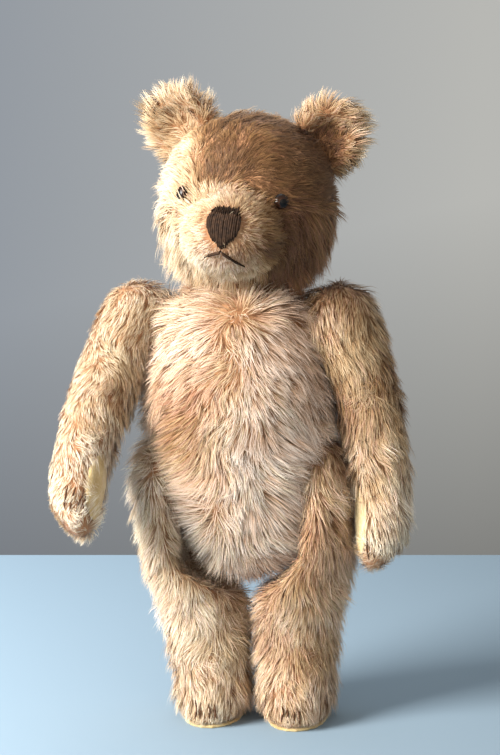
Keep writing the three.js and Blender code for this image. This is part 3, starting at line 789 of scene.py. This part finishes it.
def leg_style(side):
    """Pile combed down, forward over the foot, and short at the sole, with a band of painted shade over the
    knee, under the belly's edge.
    """
    kind = LEG_PILE[side]

    def style(co, no):
        z, inwards = co[:, 2], -no[:, 0] * SIDES[side]
        foot = ramp(z, 62 * MM, 25 * MM) * ramp(-no[:, 1], -0.2, 0.4)
        hem = ramp(z, 20 * MM, 4 * MM)
        under = ramp(-no[:, 2], 0.7, 0.9)
        outer = ramp(-inwards, 0, 0.7)
        inner = ramp(inwards, 0.3, 0.8) * ramp(z, 0.10, 0.08)
        tint = kind["tint"] + kind["thigh_tint"] * ramp(z, 0.05, 0.09) + 0.18 * ramp(z, 0.10, 0.03)
        # Painted shade: a darker band over the knee, under the belly's overhang, on all but the outer side
        tint -= 0.2 * bell(z, 0.092, 0.018) * ramp(inwards, -0.7, 0.3)
        return {
            "lay": np.stack([0.25 * no[:, 0], -0.9 * foot + 0.1, -1 + 0.25 * foot], 1),
            "length": (12 - 2 * foot + 2.5 * outer + 2 * inner) * (1 - 0.68 * hem) * MM,
            "lift": 0.48 - 0.06 * foot - 0.2 * hem + 0.14 * outer + 0.3 * inner,
            "tint": tint + 0.24 * wobble(co, 26 * MM, 9)[:, 0],
            "rosy": np.full(len(co), kind["rosy"]),
            "density": 1 + 0.5 * hem - 1.48 * under * hem,
            "clump": 0.34,
        }

    return style


def ear_style(side):
    """Pile fanned out from the ear's root, longest at the rim. The left ear is rosy inside, with painted shade
    in its cup.
    """
    kind = EAR_PILE[side]
    low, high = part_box(side + "_ear")
    base = np.array([(low.x + high.x) / 2 - SIDES[side] * 8 * MM, (low.y + high.y) / 2, low.z + 6 * MM])

    def style(co, no):
        from_base = co - base
        inside = ramp(-no[:, 1], 0.3, 0.8)
        rim = ramp(np.linalg.norm(from_base, axis=1), 18 * MM, 34 * MM)
        cup = inside * spot(from_base[:, 0], from_base[:, 2], (5 * MM, 13 * MM), (11 * MM, 13 * MM))
        droop = np.array([0.4 * SIDES[side], 0, -0.5]) * (1 - inside)[:, None]
        return {
            "lay": unit(from_base) + droop + 0.35 * wobble(co, 14 * MM, 11),
            "length": (10 + 4 * rim - 2 * inside) * MM,
            "lift": 0.5 + 0.2 * rim,
            "tint": kind["tint"] + 0.06 * rim - 0.06 * inside - 0.7 * kind["shaded_rosy_cup"] * cup,
            "rosy": 0.1 + 0.25 * kind["shaded_rosy_cup"] * inside,
            "density": np.full(len(co), 1.2),
            "clump": 0.55,
        }

    return style


# ---------------------------------------------------------------- felt, threads and claws


def felt_piece(name, body, node, voxel):
    """A felt patch: the CAD pad's shape with soft edges and a slightly uneven face, inside the pad's box."""
    obj = remeshed(name, [node], voxel, 4)
    co, no = positions(obj.data), normals(obj.data)
    low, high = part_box(node)
    co += no * wobble(co, 5 * MM, 13)[:, :1] * 0.25 * MM
    set_positions(obj.data, np.clip(co, np.array(low), np.array(high)))
    obj.data.materials.append(MATERIAL["felt"])
    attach(obj, body)
    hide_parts(node)


def tube(bm, points, radius, sides=6):
    """A round thread through points, thinner at both ends."""
    points = [Vector(p) for p in points]
    rings = []
    for i, point in enumerate(points):
        way = (points[min(i + 1, len(points) - 1)] - points[max(i - 1, 0)]).normalized()
        across = way.orthogonal().normalized()
        upright = way.cross(across)
        r = radius * (0.45 if i in (0, len(points) - 1) else 1)
        turns = [2 * math.pi * k / sides for k in range(sides)]
        ring = [point + (across * math.cos(t) + upright * math.sin(t)) * r for t in turns]
        rings.append([bm.verts.new(p) for p in ring])
    for a, b in zip(rings, rings[1:]):
        for k in range(sides):
            bm.faces.new((a[k], a[(k + 1) % sides], b[(k + 1) % sides], b[k]))
    for end in (rings[0][::-1], rings[-1]):
        bm.faces.new(end)


def thread_piece(name, body, lines, radius, material):
    """Several threads as one piece. A line is a list of points."""
    bm = bmesh.new()
    for line in lines:
        tube(bm, line, radius)
    mesh = bpy.data.meshes.new(name)
    bm.to_mesh(mesh)
    bm.free()
    shade_smooth(mesh)
    mesh.materials.append(MATERIAL[material])
    obj = add_object(name, mesh)
    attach(obj, body)
    return obj


class Surface:
    """Finds points on a skin, for what is sewn onto it."""

    def __init__(self, obj, frame):
        bm = bmesh.new()
        bm.from_mesh(obj.data)
        self.tree = BVHTree.FromBMesh(bm)
        bm.free()
        self.frame = frame

    def front(self, x, z, lift):
        """The point seen from the front at x, z in this frame, lifted off the skin."""
        start = self.frame @ Vector((x, -0.3, z))
        way = self.frame.to_3x3() @ Vector((0, 1, 0))
        point, normal = self.tree.ray_cast(start, way)[:2]
        return point + normal * lift

    def near(self, point, lift):
        """The point of the skin nearest to a point of this frame, lifted off the skin."""
        found, normal = self.tree.find_nearest(self.frame @ Vector(point))[:2]
        return found + normal * lift


def nose_and_mouth(face):
    """Upright satin stitches over the end of the muzzle, and the two threads of the mouth."""
    width, height = 0.87 * NOSE["width"], 0.95 * NOSE["height"]  # leaves room for the threads' own width
    levels = np.linspace(0, 1, 60)
    wide = np.interp(levels, *NOSE_OUTLINE)
    lines = []
    for i in range(NOSE_STITCHES):
        share = -1 + 2 * (i + 0.5) / NOSE_STITCHES
        inside = levels[wide >= abs(share)]
        low = inside[0] + 0.02 * math.sin(i * 1.7)
        high = inside[-1] + 0.02 * math.sin(i * 2.3)
        line = []
        for k in range(9):
            t = k / 8
            bow = math.sin(math.pi * t)
            x = width / 2 * share * (0.97 + 0.03 * bow) + 0.3 * MM * math.sin(i * 3.1) * bow
            z = NOSE["z"] + height * (low + (high - low) * t - 0.5)
            line.append(face.front(x, z, (0.4 + 1.5 * bow**0.5) * MM))
        lines.append(line)
    nose = thread_piece("nose_threads", "head", lines, 0.85 * MM, "nose_thread")
    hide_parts("nose_stitching")
    routes = {
        "right": [(0, 31.5), (1.5, 30), (4.5, 29), (7.5, 28), (10.5, 26.5)],
        "left": [(0, 31), (1.5, 29.4), (4.5, 27.6), (8, 25.4), (12, 22.8)],
    }
    for name, side in SIDES.items():
        line = [face.front(side * x * MM, z * MM, 2.5 * MM) for x, z in routes[name]]
        mouth = thread_piece(f"{name}_mouth_thread", "head", [line], 1 * MM, "nose_thread")
        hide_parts(f"{name}_mouth_stitch")


def tummy_seam(torso):
    """Ladder stitches that close the front of the torso."""
    lines = []
    for i in range(SEAM["stitches"]):
        z = SEAM["low"] + SEAM["step"] * i - PLACE["neck"].z
        lines.append([torso.front(side * 0.9 * MM, z + side * 0.8 * MM, 0.5 * MM) for side in (-1, 0, 1)])
    thread_piece("tummy_seam", "torso", lines, 0.4 * MM, "seam_thread")


def claw_lines(surface, middle, layout, lift):
    """Long stitches side by side, each through the skin's nearest points to a straight route."""
    lines = []
    for k in range(CLAWS):
        x = middle + (k - (CLAWS - 1) / 2) * layout["apart"]
        route = [(x, layout["y"], layout["z"] + layout["step"] * j) for j in range(5)]
        lines.append([surface.near(point, lift) for point in route])
    return lines


def claws(surfaces):
    """Long stitches on each paw and foot."""
    for name, side in SIDES.items():
        paw = claw_lines(surfaces[name + "_arm"], side * PAW_CLAWS["x"], PAW_CLAWS, 2.2 * MM)
        thread_piece(f"{name}_paw_claws", name + "_arm", paw, 0.65 * MM, "claw_thread")
        foot = claw_lines(surfaces[name + "_leg"], FOOT_X[name], FOOT_CLAWS, 2.6 * MM)
        thread_piece(f"{name}_foot_claws", name + "_leg", foot, 0.7 * MM, "claw_thread")


def finish_cad_nodes():
    """A procedural material on every CAD node, by the record's slots."""
    middle = PLACE["head"] @ Vector((0, 0, EYE_Z))
    for part in FRAME["record"]["subparts"]:
        obj, slot = FRAME["nodes"][part["node"]], part["material_slot"]
        if slot == "glass":
            apex = max((v.co for v in obj.data.vertices), key=lambda co: (co - middle).length)
            material = glass_material(part["node"] + "_glass", apex)
        else:
            material = MATERIAL[CAD_MATERIAL[slot]]
        obj.data.materials.clear()
        obj.data.materials.append(material)


# ---------------------------------------------------------------- stage


def floor():
    """A table top whose far edge is level in the camera's view."""
    turn = Matrix.Rotation(CAMERA["azimuth"], 4, "Z")
    half, near, far = FLOOR["half_width"], FLOOR["near"], FLOOR["far"]
    corners = [(-half, near, 0), (half, near, 0), (half, far, 0), (-half, far, 0)]
    mesh = bpy.data.meshes.new("floor")
    mesh.from_pydata([turn @ Vector(c) for c in corners], [], [(0, 1, 2, 3)])
    mesh.materials.append(floor_material())
    add_object("floor", mesh)


def backdrop():
    """A cool grey turning warm to the right, and darker below and to the right."""
    world = bpy.data.worlds.new("studio")
    n = Nodes(world, "Background")
    where = n.place("Generated")
    across = n.times_plus(where.outputs["X"], 3, 1, clamped=True)
    n.link(n.ramp(across, [(0.1, (144, 151, 160)), (0.9, (184, 184, 180))]), "Color")
    horizon = n.times_plus(across, -0.25, 1.27)
    n.link(n.times_plus(where.outputs["Z"], 3, horizon, clamped=True), "Strength")
    bpy.context.scene.world = world


def area_light(name, place, size, power, colour):
    data = bpy.data.lights.new(name, "AREA")
    data.energy = power
    data.size = size
    data.color = colour
    obj = add_object(name, data)
    obj.location = place
    obj.rotation_euler = (PLACE["aim"] - obj.location).to_track_quat("-Z", "Y").to_euler()


def lights():
    """A strong key from the front left, a weak warm fill and a weak light from above and behind."""
    area_light("key", (-1.14, -0.94, 0.84), 0.8, 73, (1, 0.97, 0.92))
    area_light("fill", (0.5, -1.6, 0.7), 1.2, 4, (1, 0.86, 0.72))
    area_light("top", (-0.2, 0.5, 1.5), 1.0, 4, (0.95, 0.97, 1))
    bpy.context.scene.view_settings.view_transform = "Standard"


def camera():
    """The camera, out from its aim."""
    azimuth, elevation = CAMERA["azimuth"], CAMERA["elevation"]
    out = Vector((math.sin(azimuth), -math.cos(azimuth), 0)) * math.cos(elevation) + UP * math.sin(elevation)
    data = bpy.data.cameras.new("camera")
    data.lens = CAMERA["lens"]
    obj = add_object("camera", data)
    obj.location = PLACE["aim"] + out * CAMERA["distance"]
    obj.rotation_euler = (-out).to_track_quat("-Z", "Y").to_euler()
    bpy.context.scene.camera = obj


# ---------------------------------------------------------------- the bear


def resting_places():
    """Each limb's own frame at rest, the neck and the camera's aim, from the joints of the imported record."""
    joint = {j["name"]: Vector(j["pos_m"]) for j in FRAME["joints"] if "pos_m" in j}
    neck = joint["neck_turn"]
    tilt = Matrix.Rotation(HEAD_TILT, 4, "Y") @ Matrix.Rotation(HEAD_TURN, 4, "Z")
    places = {"neck": neck, "aim": neck + AIM_FROM_NECK}
    places["torso"] = Matrix.Translation(neck)
    places["head"] = Matrix.Translation(neck) @ tilt
    for name, side in SIDES.items():
        turn = Matrix.Rotation(-side * SHOULDER_TILT, 4, "Y") @ Matrix.Rotation(-ARM_SWING[name], 4, "X")
        places[name + "_arm"] = Matrix.Translation(joint[name + "_shoulder_turn"]) @ turn
        places[name + "_leg"] = Matrix.Translation(joint[name + "_hip_turn"])
    return places


def ear(side, seed):
    """An ear's skin and pile, which are sewn fast to the head."""
    node = side + "_ear"
    skin = remeshed(node + "_skin", [node], VOXEL["ear"], 5)
    skin.data.materials.append(MATERIAL["backing"])
    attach(skin, "head")
    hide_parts(node)
    no_neighbour = np.full(len(skin.data.vertices), REACH)
    grow(node + "_pile", "head", skin, no_neighbour, None, ear_style(side), seed)


def build():
    """Every piece of the bear that isn't a CAD node."""
    surfaces = {}
    skins = [("torso", 12, torso_style), ("head", 8, head_style)]
    for name in SIDES:
        skins.append((name + "_arm", 5, arm_style(name)))
        skins.append((name + "_leg", 5, leg_style(name)))
    for seed, (body, rounds, style) in enumerate(skins, 1):
        skin, space, others = padded_skin(body, rounds)
        surfaces[body] = Surface(skin, PLACE[body])
        grow(body + "_pile", body, skin, space, others, style, seed)
    for name, side in SIDES.items():
        ear(name, 20 + side)
        felt_piece(name + "_paw_felt", name + "_arm", name + "_paw_pad", VOXEL["paw"])
        felt_piece(name + "_sole_felt", name + "_leg", name + "_sole_pad", VOXEL["sole"])
    nose_and_mouth(surfaces["head"])
    tummy_seam(surfaces["torso"])
    claws(surfaces)


noise.seed_set(NOISE_SEED)
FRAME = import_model()
PLACE = resting_places()
CAD_MATERIAL = {  # by the record's slots; each eye has a glass of its own
    "mohair": "backing",
    "wood_wool": "wood_wool",
    "felt": "felt",
    "card": "card",
    "steel": "steel",
    "thread": "nose_thread",
    "oilcloth": "oilcloth",
    "lead": "lead",
}
MATERIAL = {
    "pile": pile_material(),
    "backing": backing_material(),
    "felt": felt_material(),
    "nose_thread": thread_material("dark_brown_thread", (34, 22, 14), (70, 48, 32)),
    "claw_thread": thread_material("claw_thread", (58, 34, 20), (104, 70, 46)),
    "seam_thread": thread_material("seam_thread", (168, 112, 62), (206, 152, 100)),
    "wood_wool": plain_material("wood_wool", (150, 120, 66), (206, 178, 116), 300, 0.95),
    "card": plain_material("grey_card", (112, 88, 62), (158, 130, 98), 200, 0.9),
    "steel": plain_material("dull_steel", (116, 118, 122), (150, 152, 156), 400, 0.4, 1.0),
    "oilcloth": plain_material("oilcloth", (50, 34, 24), (84, 60, 42), 150, 0.6),
    "lead": plain_material("dull_lead", (74, 76, 80), (104, 106, 110), 200, 0.6, 1.0),
}
finish_cad_nodes()
build()
floor()
backdrop()
lights()
camera()
